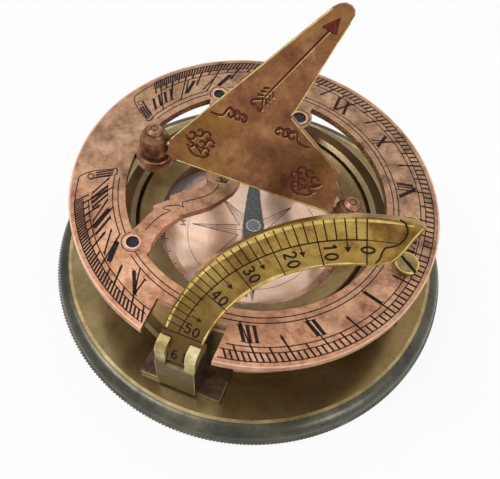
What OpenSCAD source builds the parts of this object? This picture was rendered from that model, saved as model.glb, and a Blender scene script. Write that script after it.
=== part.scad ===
// Sundial compass: a brass compass bowl on a round base, an hour ring hinged over it at the
// twelve o'clock side, a folding gnomon between two turned posts, and a latitude arc that
// stands in a clevis on the near side. Millimetres. +X points to the XII of the hour ring,
// -Y is the side with the latitude arc, and Z = 0 is the face that the base stands on.

/* [Base] */
// radius of the base over its knurled edge
base_r = 60; // [57:0.5:66]
// height of the flat top of the base
base_h = 6; // [5:0.25:9]
// width of the rounded shoulder between the knurled edge and the flat top
shoulder_w = 3.5; // [2:0.25:5]
// height of the knurled band at the foot of the base
knurl_h = 1.9; // [1:0.1:2.5]
// thickness of the disc that closes the underside
cover_t = 1.5; // [1:0.1:2.5]

/* [Compass bowl] */
// height of the bowl's rim above the table
bowl_top = 24.3; // [22.5:0.1:25]
// outer radius of the bowl at its rim
bowl_r = 38.7; // [37:0.1:41]
// how much wider the bowl is at its foot
bowl_flare = 3; // [1:0.25:4]
// width of the bowl's wall at the rim
rim_w = 4.7; // [3.4:0.1:6]
// chamfer of the bore at the rim
rim_chamfer = 1.3; // [0.4:0.1:1.6]
// width of the ledge under the glass
ledge_w = 3; // [2.4:0.1:4]
// height of the ledge under the glass
glass_seat = 17.6; // [16.5:0.1:18.5]
// thickness of the glass
glass_t = 1.6; // [1:0.1:2]
// how far the retainer reaches in over the glass
retainer_w = 6.5; // [5:0.25:8]
// height of the dial's face
dial_top = 13; // [12:0.1:13.5]
// thickness of the dial
dial_t = 1; // [0.6:0.1:1.4]

/* [Compass needle] */
// length of the needle from tip to tip
needle_l = 46; // [36:0.5:50]
// width of the needle at its middle
needle_w = 6.5; // [4:0.25:8]
// thickness of the needle
needle_t = 0.5; // [0.3:0.05:0.8]
// direction of the needle's north tip, in degrees from +X
needle_angle = 111; // [0:1:359]
// radius of the cap at the needle's middle
cap_r = 2.2; // [1.6:0.1:3]

/* [Hour ring] */
// how far the hour ring reaches in over the bowl's rim
ring_overlap = 2.8; // [2:0.1:3.4]
// width of the hour ring
ring_w = 14.7; // [14:0.1:16]
// thickness of the hour ring
ring_t = 2.2; // [1.6:0.1:2.6]
// height of the ring's upper face over the hinge axis
ring_over_hinge = 6.4; // [6:0.1:7]
// tilt of the ring as it stands, in degrees
ring_rest_tilt = 2.6; // [0:0.1:4]
// width of the notch for the latitude arc
notch_w = 18.6; // [16:0.2:21]
// distance of the notch's inner edge from the arc's pin
notch_to_pin = 7.5; // [7:0.1:8]
// how far the south lugs lie outside the ring's inner edge
south_lug_out = 1.2; // [0.8:0.1:2]
// angle of the south lugs, from +X
south_lug_angle = 128.2; // [124:0.2:132]
// how far the north lugs lie inside the ring's inner edge
north_lug_in = 5.3; // [4:0.1:6]
// angle of the north lugs, from +X
north_lug_angle = 90.4; // [88:0.2:92]
// radius of the round sinks in the south lugs
south_sink_r = 1.7; // [1.2:0.05:2.2]
// radius of the round sinks in the north lugs
north_sink_r = 2.05; // [1.4:0.05:2.4]
// depth of the sinks
sink_depth = 0.8; // [0.4:0.1:1.2]

/* [Hinge] */
// how far the hinge axis lies inside the ring's outer edge
hinge_inset = 3.9; // [3.6:0.1:4.6]
// height of the hinge axis above the table
hinge_z = 25.7; // [25:0.1:26.5]
// radius of the hinge pin
hinge_pin_r = 1.2; // [0.8:0.1:1.4]
// outer radius of the hinge knuckles
knuckle_r = 2.5; // [2.2:0.1:2.8]
// length of the middle knuckle along the pin
knuckle_l = 7; // [5:0.25:8]
// length of each outer knuckle along the pin
side_knuckle_l = 4; // [3:0.25:5]
// thickness of the leaf under the ring
leaf_t = 1.3; // [1:0.1:1.5]
// distance of the hinge screws from the middle line
ring_screw_y = 5.6; // [5:0.1:6.5]

/* [Posts and gnomon] */
// how far the south post stands inside the ring's inner edge
south_post_in = 4.9; // [4.4:0.1:5.9]
// how far the north post stands inside the ring's inner edge
north_post_in = 10.9; // [9.9:0.1:11.9]
// height of a post over the ring
post_h = 10.5; // [9.5:0.1:12]
// radius of a post's bell
post_r = 4.2; // [3.6:0.1:4.6]
// height of the gnomon's pivots over the ring
pivot_h = 6; // [5:0.1:7]
// radius of the gnomon's pivot pins
pivot_r = 0.8; // [0.6:0.05:1]
// thickness of the gnomon
gnomon_t = 1.6; // [1:0.1:2]
// height of the gnomon's tip over its pivots
gnomon_h = 48.2; // [40:0.2:50]
// how far the gnomon leans back from upright, in degrees
gnomon_lean = 30; // [0:1:50]

/* [Latitude arc] */
// outer radius of the latitude arc
arc_r = 53.9; // [53:0.1:55]
// width of the arc's face
arc_w = 10.9; // [10:0.1:12]
// thickness of the arc
arc_t = 2; // [1.4:0.1:2.2]
// distance of the arc's pin from the clevis's back face
arc_pin_in = 4.6; // [4.4:0.1:4.9]
// lean of the arc as it rests against the notch, in degrees
arc_lean = 29.7; // [24:0.1:31]
// radius of the pin through the arc's tang
arc_pin_r = 0.55; // [0.45:0.05:0.65]
// width of the tang
tang_w = 4.8; // [4:0.1:5.2]
// height of the arc's shoulders over the pin
shoulder_h = 4.7; // [4.4:0.1:5.2]
// angle of the arc's pointed end, from its foot
arc_end_angle = 84.5; // [80:0.5:88]

/* [Clevis] */
// depth of the clevis from its front face to its back face
clevis_d = 7.8; // [7.6:0.1:8.6]
// clear space between the bowl's foot and the clevis
clevis_clearance = 1.7; // [1.3:0.1:2.1]
// height of the step in the clevis's front face
clevis_step_z = 23; // [22:0.1:23.4]
// thickness of the plate under the clevis
tongue_t = 1.6; // [1:0.1:2.2]
// width of the plate under the clevis
tongue_w = 23.2; // [20:0.2:26]

/* [Hidden] */
$fn = 96;
slack = 0.05;        // radial running clearance of every pin
gap = 0.3;           // space between pieces that pass each other
eps = 0.01;
low_head_r = 2.1;
low_head_h = 0.9;
counterbore_r = low_head_r + 0.2;
cover_screw_r = base_r - 11;

edge_step = 0.7;     // the band stands out from the shoulder by this
foot_w = 6;          // width of the base's rim round the underside's recess
recess_r = base_r - foot_w;
recess_h = cover_t + 0.4;
foot_t = 1.5;
bowl_floor = 2;
bowl_foot_r = bowl_r + bowl_flare;
bore_r = bowl_r - rim_w;
dial_bore_r = bore_r - ledge_w;
retainer_inner_r = bore_r - retainer_w;
bowl_screw_in = 6.1; // from the bowl's foot to its screws
bowl_screw_r = bowl_foot_r - bowl_screw_in;
screw_hole_r = 1.25;
thread_l = 5.5;      // how far the low screws reach above the base
cover_thread_l = 2.6;

retainer_r = bore_r - 0.1;
retainer_top_r = bore_r - 1;
retainer_top = bowl_top - 0.7;
retainer_foot = 1.2;
glass_top = glass_seat + glass_t;
degree_outer_r = dial_bore_r - 2.5;
degree_inner_r = degree_outer_r - 4.2;
degree_t = 0.9;
needle_z = glass_seat - 2.2;
pin_r = 0.8;
pin_foot_z = dial_top - dial_t - bowl_floor + 0.6;

ring_inner_r = bowl_r - ring_overlap;
ring_r = ring_inner_r + ring_w;
hinge_x = ring_r - hinge_inset;
clevis_back_y = bowl_foot_r + clevis_clearance;
clevis_front_y = clevis_back_y + clevis_d;
arc_pin_y = clevis_back_y + arc_pin_in;
notch_y = arc_pin_y - notch_to_pin;
south_lug_r = ring_inner_r + south_lug_out;
north_lug_r = ring_inner_r - north_lug_in;
south_post_x = south_post_in - ring_inner_r;
north_post_x = ring_inner_r - north_post_in;
drawn_inner_r = 35.9; // the ring's inner radius for which the bridges are drawn
bridge_scale = ring_inner_r / drawn_inner_r;
lug_r = 4.4;
north_lug_size = 5.4;
south_sink_turn = 1.3;   // the south sinks lie this many degrees further round than their lugs
far_sink_turn = 3.2;     // the far north sink lies this many degrees nearer the XII
neck_w = 8;
hub_r = 5.3;
ring_top = hinge_z + ring_over_hinge;
ring_low = ring_top - ring_t;

ring_screw_x = hinge_x - 3;
screw_head_r = 3.3;
screw_head_h = 1.5;
screw_slot_w = 0.9;
screw_slot_d = 0.8;
ring_screw_turn = -35;
// the far screw is hidden by the arc's tip, so it lies a little further in than the near one
ring_screw_places = [[ring_screw_x, -ring_screw_y], [ring_screw_x - 1.7, ring_screw_y + 0.6]];
leaf_top = ring_low;
leaf_low = leaf_top - leaf_t;
leaf_x0 = ring_screw_x - 3.2;
leaf_x1 = hinge_x + 2.6;
leaf_half_w = max(knuckle_l / 2 + gap + side_knuckle_l, ring_screw_y + 2.2);
bracket_x0 = hinge_x - 2.4;
bracket_x1 = hinge_x + 2.4;
bracket_foot_x1 = hinge_x + 2.4;
bracket_foot_half = 8.8;
bracket_screw_y = 6.3;
bracket_screw_head_r = 2.2;
bracket_screw_head_h = 1;
bracket_screw_turn = 20;
bracket_thread_l = 2.9; // how far the bracket's screws reach into the base
bracket_hole_l = 3;

post_flange_r = 4.9;
post_flange_h = 1.1;
post_neck_r = 3.3;
post_neck_h = 2;
stud_r = 1.3;
nut_r = 2.6;
nut_h = 1.2;

gnomon_x0 = south_post_x + post_r + gap;
gnomon_x1 = north_post_x - post_r - gap;
pivot_bite = 2.4;

arc_inner_r = arc_r - arc_w;
arc_mid_x = hinge_x - (arc_r + arc_inner_r) / 2;
tang_end_r = 2.8;
ear_r = shoulder_h - 0.25;
slot_w = tang_w + 0.4;
slot_floor = hinge_z - tang_end_r - gap;
clevis_w = arc_w;
tongue_x = arc_mid_x + 0.5;
tongue_front_y = clevis_front_y - 0.7;

// Colours close to the photograph
module olive_brass() {
    color([0.47, 0.40, 0.24])
        children();
}

module bright_brass() {
    color([0.78, 0.66, 0.30])
        children();
}

module pale_brass() {
    color([0.80, 0.78, 0.66])
        children();
}

module copper() {
    color([0.76, 0.55, 0.47])
        children();
}

module dark_brass() {
    color([0.33, 0.29, 0.25])
        children();
}

// The ring and all that rides on it stand tilted about the hinge
module on_ring() {
    translate([hinge_x, 0, hinge_z])
        rotate([0, ring_rest_tilt, 0])
            translate([-hinge_x, 0, -hinge_z])
                children();
}

// The arc and its tang lean inward about their pin; inside, X runs along the pin and Y up
module on_arc() {
    translate([0, -arc_pin_y, hinge_z])
        rotate([90 - arc_lean, 0, 0])
            children();
}

// Base
module base_plate() {
    olive_brass()
        difference() {
            rotate_extrude($fn = 180)
                polygon(concat(
                    [[0, recess_h], [recess_r, recess_h], [recess_r, 0], [base_r - 0.6, 0],
                     [base_r, 0.5], [base_r, knurl_h - 0.3], [base_r - edge_step, knurl_h]],
                    [for (a = [0 : 15 : 90])
                        [base_r - edge_step - shoulder_w * (1 - cos(a)),
                         knurl_h + (base_h - knurl_h) * sin(a)]],
                    [[0, base_h]]));
            bowl_screw_places(recess_h - 1, base_h, screw_hole_r + slack);
            bowl_screw_places(recess_h - 1, low_head_h + 1, counterbore_r);
            clevis_screw_places(recess_h - 1, base_h, screw_hole_r + slack);
            clevis_screw_places(recess_h - 1, low_head_h + 1, counterbore_r);
            bracket_screw_places(base_h - bracket_hole_l, bracket_hole_l + 1, screw_hole_r + slack);
            cover_screw_places(recess_h - 1, cover_thread_l + 1.4, screw_hole_r + slack);
        }
}

module bottom_cover() {
    dark_brass()
        difference() {
            translate([0, 0, recess_h - cover_t])
                cylinder(r = recess_r - 0.2, h = cover_t, $fn = 180);
            cover_screw_places(-1, recess_h + 2, screw_hole_r + slack);
            cover_screw_places(-1, 1 + recess_h - cover_t / 2, counterbore_r);
        }
}

// A screw put in from below, with its head at the bottom and its slot underneath
module low_screw(shank_l, head_h = low_head_h) {
    difference() {
        union() {
            cylinder(r = low_head_r, h = head_h, $fn = 48);
            cylinder(r = screw_hole_r, h = head_h + shank_l, $fn = 32);
        }
        translate([-low_head_r - 1, -0.35, -1])
            cube([2 * low_head_r + 2, 0.7, 1 + head_h / 2]);
    }
}

module cover_screw_places(z, h, r) {
    for (a = [45 : 90 : 315])
        rotate([0, 0, a])
            translate([cover_screw_r, 0, z])
                cylinder(r = r, h = h, $fn = 48);
}

module cover_screws() {
    head_h = cover_t / 2 - 0.15;
    bright_brass()
        for (a = [45 : 90 : 315])
            rotate([0, 0, a])
                translate([cover_screw_r, 0, recess_h - cover_t / 2 - head_h])
                    low_screw(cover_t / 2 + cover_thread_l, head_h);
}

// Compass bowl and what it holds
module compass_bowl() {
    olive_brass()
        difference() {
            rotate_extrude($fn = 180)
                polygon([[dial_bore_r - 4, base_h], [bowl_foot_r, base_h],
                         [bowl_foot_r - 1, base_h + 1.2], [bowl_r + 0.6, base_h + 6],
                         [bowl_r, bowl_top - 0.5], [bowl_r - 0.5, bowl_top],
                         [bore_r + rim_chamfer, bowl_top], [bore_r, bowl_top - rim_chamfer * 0.7],
                         [bore_r, glass_seat], [dial_bore_r, glass_seat],
                         [dial_bore_r, dial_top - dial_t], [0, dial_top - dial_t],
                         [0, dial_top - dial_t - bowl_floor],
                         [dial_bore_r - 4, dial_top - dial_t - bowl_floor]]);
            bowl_screw_places(base_h - 1, thread_l + 1.5, screw_hole_r + slack);
            // blind hole that holds the foot of the pivot pin
            translate([0, 0, pin_foot_z])
                cylinder(r = pin_r + slack, h = bowl_floor + 2, $fn = 32);
        }
}

module bowl_screw_places(z, h, r) {
    for (a = [45 : 90 : 315])
        rotate([0, 0, a])
            translate([bowl_screw_r, 0, z])
                cylinder(r = r, h = h, $fn = 48);
}

module bowl_screws() {
    bright_brass()
        for (a = [45 : 90 : 315])
            rotate([0, 0, a])
                translate([bowl_screw_r, 0, recess_h])
                    low_screw(base_h + thread_l - recess_h - low_head_h);
}

module glass_retainer() {
    olive_brass()
        rotate_extrude($fn = 180)
            polygon([[retainer_inner_r, glass_top], [retainer_r, glass_top],
                     [retainer_r, glass_top + retainer_foot],
                     [retainer_top_r, glass_top + retainer_foot + 0.4],
                     [retainer_top_r, retainer_top - 0.3],
                     [retainer_top_r - 0.4, retainer_top],
                     [retainer_inner_r, glass_top + 0.5]]);
}

module compass_glass() {
    color([0.75, 0.85, 0.88, 0.35])
        translate([0, 0, glass_seat])
            cylinder(r = bore_r - 0.2, h = glass_t, $fn = 180);
}

module compass_dial() {
    copper()
        difference() {
            translate([0, 0, dial_top - dial_t])
                cylinder(r = dial_bore_r - 0.15, h = dial_t, $fn = 180);
            translate([0, 0, dial_top - dial_t - 1])
                cylinder(r = pin_r + slack, h = dial_t + 2, $fn = 32);
        }
}

module degree_ring() {
    copper()
        difference() {
            translate([0, 0, dial_top])
                cylinder(r1 = degree_outer_r, r2 = degree_outer_r, h = degree_t, $fn = 180);
            translate([0, 0, dial_top - 1])
                cylinder(r = degree_inner_r, h = degree_t + 2, $fn = 180);
        }
}

module pivot_pin() {
    bright_brass()
        rotate_extrude($fn = 32)
            polygon([[0, pin_foot_z], [pin_r, pin_foot_z], [pin_r, needle_z - 0.9],
                     [0.06, needle_z + 0.6], [0, needle_z + 0.65]]);
}

module compass_needle() {
    color([0.25, 0.33, 0.42])
        rotate([0, 0, needle_angle])
            translate([0, 0, needle_z])
                difference() {
                    linear_extrude(needle_t)
                        polygon([[-needle_l / 2, 0], [-needle_l / 4, -needle_w * 0.3],
                                 [0, -needle_w / 2], [needle_l / 4, -needle_w * 0.3],
                                 [needle_l / 2, 0], [needle_l / 4, needle_w * 0.3],
                                 [0, needle_w / 2], [-needle_l / 4, needle_w * 0.3]]);
                    translate([0, 0, -1])
                        cylinder(r = cap_r - 0.6 + slack, h = needle_t + 2, $fn = 48);
                }
}

module needle_cap() {
    bright_brass()
        translate([0, 0, needle_z])
            difference() {
                union() {
                    translate([0, 0, needle_t])
                        cylinder(r = cap_r, h = 0.5, $fn = 48);
                    translate([0, 0, -0.5])
                        cylinder(r = cap_r - 0.6, h = 1.1 + needle_t, $fn = 48);
                }
                // the hollow that sits over the pin's point
                translate([0, 0, -0.6])
                    cylinder(r1 = 1.2, r2 = 0.2, h = 1.4, $fn = 32);
            }
}

// Hour ring with its two scrolled bridges and a round sink in each of its four lugs
function lug_at(r, a) = [r * cos(a), r * sin(a)];
function across(points) = [for (p = points) [p[0], -p[1]]];
function backward(points) = [for (i = [len(points) - 1 : -1 : 0]) points[i]];

// A bridge from its two edges on the near side, each drawn from the lug to the middle line
module bridge(edge_a, edge_b) {
    scale(bridge_scale)
        polygon(concat(edge_a, across(backward(edge_a)), across(edge_b), backward(edge_b)));
}

south_bridge_inner = [[-19.6, -31], [-19.0, -27], [-18.9, -24.2], [-18.2, -21.2], [-17.0, -18.8],
    [-15.6, -15.9], [-13.7, -13.8], [-11.7, -12.0], [-9.7, -9.8], [-8.4, -7.4], [-7.3, -5.1],
    [-6.2, -3.1], [-5.8, -0.8]];
south_bridge_outer = [[-26.4, -29.6], [-25.6, -26.8], [-24.3, -22.2], [-23.6, -19.1],
    [-23.0, -17.8], [-23.7, -16.4], [-21.3, -13.5], [-20.5, -12.7], [-21.1, -11.6],
    [-18.0, -7.9], [-14.6, -5.6], [-13.6, -3.2], [-14.8, -1.1]];
north_bridge_inner = [[-4.2, -28.6], [-5.2, -26.6], [-4.7, -25.0], [-3.8, -23.7], [-2.6, -22.7],
    [-1.4, -21.6], [1.6, -18.4], [4.6, -15.0], [7.6, -12.0], [11.0, -9.0], [14.8, -6.4],
    [20.9, -2.6]];
north_bridge_outer = [[4.0, -28.4], [3.9, -26.2], [5.0, -23.6], [7.2, -20.8], [10.0, -17.8],
    [13.0, -14.6], [16.0, -11.6], [19.2, -8.8], [23.4, -5.6], [28.2, -2.4]];

// A lug with its neck to the ring
module lug(r, a) {
    translate(lug_at(r, a)) circle(r = north_lug_size);
    rotate(a)
        translate([r, -neck_w / 2])
            square([ring_inner_r + 1.5 - r, neck_w]);
}

module mirrored_y() {
    children();
    mirror([0, 1]) children();
}

module hour_ring_outline() {
    difference() {
        union() {
            difference() {
                circle(r = ring_r, $fn = 240);
                circle(r = ring_inner_r, $fn = 240);
            }
            bridge(south_bridge_inner, south_bridge_outer);
            bridge(north_bridge_outer, north_bridge_inner);
            mirrored_y() {
                translate(lug_at(south_lug_r, south_lug_angle)) circle(r = lug_r);
                lug(north_lug_r, north_lug_angle);
            }
            // lobe under the south post and hub under the north post
            translate([south_post_x, 0]) circle(r = hub_r);
            translate([north_post_x, 0]) circle(r = hub_r);
        }
        // notch for the latitude arc
        translate([arc_mid_x - notch_w / 2, -ring_r - 1])
            square([notch_w, ring_r + 1 - notch_y]);
        for (x = [south_post_x, north_post_x])
            translate([x, 0]) circle(r = stud_r + slack, $fn = 32);
        for (place = ring_screw_places)
            translate(place) circle(r = screw_hole_r + slack, $fn = 32);
    }
}

// The far north sink was cut a little nearer the XII than the near one
module ring_sinks() {
    for (side = [-1, 1]) {
        translate(lug_at(south_lug_r, side * (south_lug_angle + south_sink_turn)))
            circle(r = south_sink_r, $fn = 48);
        translate(lug_at(north_lug_r, side * north_lug_angle - (side + 1) * far_sink_turn / 2))
            circle(r = north_sink_r, $fn = 48);
    }
}

module hour_ring() {
    copper()
        on_ring()
            difference() {
                translate([0, 0, ring_low])
                    linear_extrude(ring_t)
                        hour_ring_outline();
                translate([0, 0, ring_low + ring_t - sink_depth])
                    linear_extrude(sink_depth + 1)
                        ring_sinks();
            }
}

// Hinge under the XII
module hinge_leaf() {
    dark_brass()
        on_ring()
            difference() {
                union() {
                    translate([leaf_x0, -leaf_half_w, leaf_low])
                        cube([leaf_x1 - leaf_x0, 2 * leaf_half_w, leaf_t]);
                    for (s = [-1, 1])
                        translate([hinge_x, s * (knuckle_l / 2 + gap + side_knuckle_l / 2), hinge_z]) {
                            rotate([90, 0, 0])
                                cylinder(r = knuckle_r, h = side_knuckle_l, center = true, $fn = 48);
                            translate([-knuckle_r, -side_knuckle_l / 2, 0])
                                cube([2 * knuckle_r, side_knuckle_l, leaf_low - hinge_z + eps]);
                        }
                }
                translate([hinge_x, 0, hinge_z])
                    rotate([90, 0, 0])
                        cylinder(r = hinge_pin_r + slack / 2, h = 40, center = true, $fn = 48);
                for (place = ring_screw_places)
                    translate([place[0], place[1], leaf_low - 1])
                        cylinder(r = screw_hole_r + slack, h = leaf_t + 2, $fn = 32);
            }
}

module bracket_screw_places(z, h, r) {
    for (y = [-bracket_screw_y, bracket_screw_y])
        translate([hinge_x, y, z])
            cylinder(r = r, h = h, $fn = 32);
}

module hinge_bracket() {
    dark_brass()
        difference() {
            union() {
                translate([bracket_x0 - 0.2, -bracket_foot_half, base_h])
                    cube([bracket_foot_x1 - bracket_x0 + 0.2, 2 * bracket_foot_half, foot_t]);
                translate([bracket_x0, -knuckle_l / 2, base_h + foot_t - eps])
                    cube([bracket_x1 - bracket_x0, knuckle_l, hinge_z - base_h - foot_t]);
                translate([hinge_x, 0, hinge_z])
                    rotate([90, 0, 0])
                        cylinder(r = knuckle_r, h = knuckle_l, center = true, $fn = 48);
            }
            translate([hinge_x, 0, hinge_z])
                rotate([90, 0, 0])
                    cylinder(r = hinge_pin_r + slack, h = knuckle_l + 2, center = true, $fn = 48);
            bracket_screw_places(base_h - 1, foot_t + 2, screw_hole_r + slack);
        }
}

module hinge_pin() {
    bright_brass()
        on_ring()
            translate([hinge_x, 0, hinge_z])
                rotate([90, 0, 0]) {
                    cylinder(r = hinge_pin_r, h = 2 * leaf_half_w, center = true, $fn = 48);
                    for (s = [-1, 1])
                        translate([0, 0, s * (leaf_half_w + 0.4)])
                            cylinder(r = hinge_pin_r + 0.6, h = 0.8, center = true, $fn = 48);
                }
}

// Slotted cheese-head screws through the ring into the leaf
module slotted_screw(head_r, head_h, shank_r, shank_l, turn) {
    difference() {
        union() {
            cylinder(r = head_r, h = head_h - 0.3, $fn = 64);
            translate([0, 0, head_h - 0.3])
                cylinder(r1 = head_r, r2 = head_r - 0.3, h = 0.3, $fn = 64);
            translate([0, 0, -shank_l])
                cylinder(r = shank_r, h = shank_l + eps, $fn = 32);
        }
        rotate([0, 0, turn])
            translate([-head_r - 1, -screw_slot_w / 2, head_h - screw_slot_d])
                cube([2 * head_r + 2, screw_slot_w, screw_slot_d + 1]);
    }
}

module ring_screws() {
    bright_brass()
        on_ring()
            for (place = ring_screw_places)
                translate([place[0], place[1], ring_top])
                    slotted_screw(screw_head_r, screw_head_h, screw_hole_r, ring_t + leaf_t,
                        ring_screw_turn);
}

module bracket_screws() {
    bright_brass()
        for (y = [-bracket_screw_y, bracket_screw_y])
            translate([hinge_x, y, base_h + foot_t])
                slotted_screw(bracket_screw_head_r, bracket_screw_head_h, screw_hole_r,
                    foot_t + bracket_thread_l, bracket_screw_turn);
}

// Turned posts on the ring
module post(x) {
    on_ring()
        translate([x, 0, ring_top])
            difference() {
                rotate_extrude($fn = 72)
                    polygon(concat(
                        [[0, -ring_t - nut_h], [stud_r, -ring_t - nut_h], [stud_r, 0],
                         [post_flange_r, 0], [post_flange_r, post_flange_h - 0.3],
                         [post_flange_r - 0.3, post_flange_h], [post_neck_r, post_flange_h],
                         [post_neck_r, post_neck_h], [post_r, post_neck_h + 0.5]],
                        [for (a = [0 : 15 : 90])
                            [post_r * cos(a),
                             post_neck_h + 2.4 + (post_h - post_neck_h - 2.4) * sin(a)]]));
                translate([0, 0, pivot_h])
                    rotate([0, x < 0 ? 90 : -90, 0])
                        cylinder(r = pivot_r + slack, h = post_r + 1, $fn = 32);
            }
}

module south_post() {
    copper()
        post(south_post_x);
}

module north_post() {
    copper()
        post(north_post_x);
}

module post_nuts() {
    bright_brass()
        on_ring()
            for (x = [south_post_x, north_post_x])
                translate([x, 0, ring_low - nut_h])
                    difference() {
                        cylinder(r = nut_r, h = nut_h, $fn = 6);
                        translate([0, 0, -1])
                            cylinder(r = stud_r + slack, h = nut_h + 2, $fn = 48);
                    }
}

// Gnomon, drawn in its own plane: X along its pivots, Y up the plate
module in_gnomon_plane() {
    on_ring()
        translate([0, 0, ring_top + pivot_h])
            rotate([90 - gnomon_lean, 0, 0])
                children();
}

module gnomon_outline() {
    h = gnomon_h;
    polygon([[gnomon_x0, -2.6], [gnomon_x0 + 2.8, -3.6], [gnomon_x1 - 0.4, -2.2],
             [gnomon_x1, -1.6], [gnomon_x1, 4.6], [gnomon_x1 - 1.3, 6.6],
             [gnomon_x1 - 1.3, 9.2], [gnomon_x1 - 2.8, 10.1], [2.6, h * 0.396],
             [3.1, h * 0.423], [9.8, h - 2.1], [9.4, h - 0.9], [8.4, h - 0.2],
             [6.9, h], [5.5, h - 0.6], [4.3, h - 1.7], [gnomon_x0 + 1, 3.5],
             [gnomon_x0, 1.6]]);
}

module gnomon() {
    color([0.66, 0.50, 0.33])
        in_gnomon_plane()
            translate([0, 0, -gnomon_t / 2])
                linear_extrude(gnomon_t)
                    gnomon_outline();
}

module gnomon_pivots() {
    bright_brass()
        in_gnomon_plane() {
            translate([gnomon_x0 - gap - pivot_bite, 0, 0])
                rotate([0, 90, 0])
                    cylinder(r = pivot_r, h = gap + pivot_bite, $fn = 32);
            translate([gnomon_x1, 0, 0])
                rotate([0, 90, 0])
                    cylinder(r = pivot_r, h = gap + pivot_bite, $fn = 32);
        }
}

// Latitude arc, drawn in its own plane round the ring's hinge
function arc_point(r, a) = [hinge_x - r * cos(a), r * sin(a)];

module latitude_arc_outline() {
    foot_outer = asin(shoulder_h / arc_r);
    foot_inner = asin(shoulder_h / arc_inner_r);
    steps = 24;
    inner_end = 73;
    outer_last = arc_end_angle - 3;
    polygon(concat(
        [for (i = [0 : steps]) arc_point(arc_r, foot_outer + (outer_last - foot_outer) * i / steps)],
        [arc_point(arc_r - 0.2, arc_end_angle - 0.8), arc_point(arc_r - 0.7, arc_end_angle),
         arc_point(arc_r - 3, arc_end_angle - 1.3), arc_point(arc_r - 5.8, arc_end_angle - 2.7),
         arc_point(arc_r - 8.2, arc_end_angle - 4.2), arc_point(arc_r - 9.6, arc_end_angle - 5.6),
         arc_point(arc_r - 10.2, arc_end_angle - 7.6), arc_point(arc_r - 10.6, arc_end_angle - 9.6)],
        [for (i = [0 : steps]) arc_point(arc_inner_r, inner_end + (foot_inner - inner_end) * i / steps)]));
    // tang with its round end
    translate([arc_mid_x - tang_w / 2, 0])
        square([tang_w, shoulder_h + 0.5]);
}

module latitude_arc() {
    bright_brass()
        on_arc()
            difference() {
                union() {
                    translate([0, 0, -arc_t / 2])
                        linear_extrude(arc_t)
                            latitude_arc_outline();
                    // eye of the tang round the pin
                    translate([arc_mid_x - tang_w / 2, 0, 0])
                        rotate([0, 90, 0])
                            cylinder(r = tang_end_r, h = tang_w, $fn = 48);
                }
                translate([arc_mid_x - tang_w, 0, 0])
                    rotate([0, 90, 0])
                        cylinder(r = arc_pin_r + slack, h = 2 * tang_w, $fn = 48);
                // the tang's front runs flat down over the eye
                translate([arc_mid_x - tang_w, -2 * tang_end_r, arc_t / 2])
                    cube([2 * tang_w, 4 * tang_end_r, 2 * tang_end_r]);
            }
}

module arc_pin() {
    bright_brass()
        translate([arc_mid_x, -arc_pin_y, hinge_z])
            rotate([0, 90, 0])
                cylinder(r = arc_pin_r, h = clevis_w, center = true, $fn = 48);
}

// Clevis profile in the Y-Z plane, front to the left
module clevis_profile() {
    ear_front = min(clevis_front_y - 0.7, arc_pin_y + ear_r * 0.62);
    polygon([[-clevis_front_y, base_h + tongue_t], [-clevis_front_y, clevis_step_z],
             [-ear_front, clevis_step_z + 1], [-ear_front, hinge_z + ear_r * 0.6],
             [-arc_pin_y - ear_r * 0.3, hinge_z + ear_r * 0.93],
             [-arc_pin_y + ear_r * 0.3, hinge_z + ear_r * 0.93],
             [-arc_pin_y + ear_r * 0.75, hinge_z + ear_r * 0.6],
             [-clevis_back_y, hinge_z], [-clevis_back_y, base_h + tongue_t]]);
}

module arc_clevis() {
    pale_brass()
        difference() {
            translate([arc_mid_x - clevis_w / 2, 0, 0])
                rotate([90, 0, 90])
                    linear_extrude(clevis_w)
                        clevis_profile();
            translate([arc_mid_x - slot_w / 2, -clevis_front_y - 1, slot_floor])
                cube([slot_w, clevis_front_y - clevis_back_y + 2, 20]);
            translate([arc_mid_x, -arc_pin_y, hinge_z])
                rotate([0, 90, 0])
                    cylinder(r = arc_pin_r + slack / 2, h = clevis_w + 2, center = true, $fn = 48);
            clevis_screw_places(base_h, thread_l + 0.5, screw_hole_r + slack);
        }
}

module clevis_screw_places(z, h, r) {
    for (s = [-1, 1])
        translate([arc_mid_x + s * clevis_w / 4, -(clevis_front_y + clevis_back_y) / 2, z])
            cylinder(r = r, h = h, $fn = 32);
}

module clevis_plate() {
    dark_brass()
        difference() {
            translate([tongue_x - tongue_w / 2, -tongue_front_y, base_h])
                cube([tongue_w, tongue_front_y - 30, tongue_t]);
            translate([0, 0, base_h - 1])
                cylinder(r = bowl_foot_r + 0.1, h = tongue_t + 2, $fn = 180);
            clevis_screw_places(base_h - 1, tongue_t + 2, screw_hole_r + slack);
        }
}

module clevis_screws() {
    bright_brass()
        for (s = [-1, 1])
            translate([arc_mid_x + s * clevis_w / 4, -(clevis_front_y + clevis_back_y) / 2, recess_h])
                low_screw(base_h + thread_l - recess_h - low_head_h);
}

base_plate();
bottom_cover();
cover_screws();
compass_bowl();
bowl_screws();
glass_retainer();
compass_glass();
compass_dial();
degree_ring();
pivot_pin();
compass_needle();
needle_cap();
hour_ring();
hinge_leaf();
hinge_bracket();
hinge_pin();
ring_screws();
bracket_screws();
south_post();
north_post();
post_nuts();
gnomon();
gnomon_pivots();
latitude_arc();
arc_pin();
arc_clevis();
clevis_plate();
clevis_screws();
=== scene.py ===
"""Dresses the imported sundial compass: aged brass and copper, engraved scales, glass and lights.

Lengths are written in millimetres and turned into metres where meshes are made. +X points to
the XII of the hour ring, -Y is the side with the latitude arc, and Z = 0 is the table.
"""
import math

import bpy
from mathutils import Matrix, Vector


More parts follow.
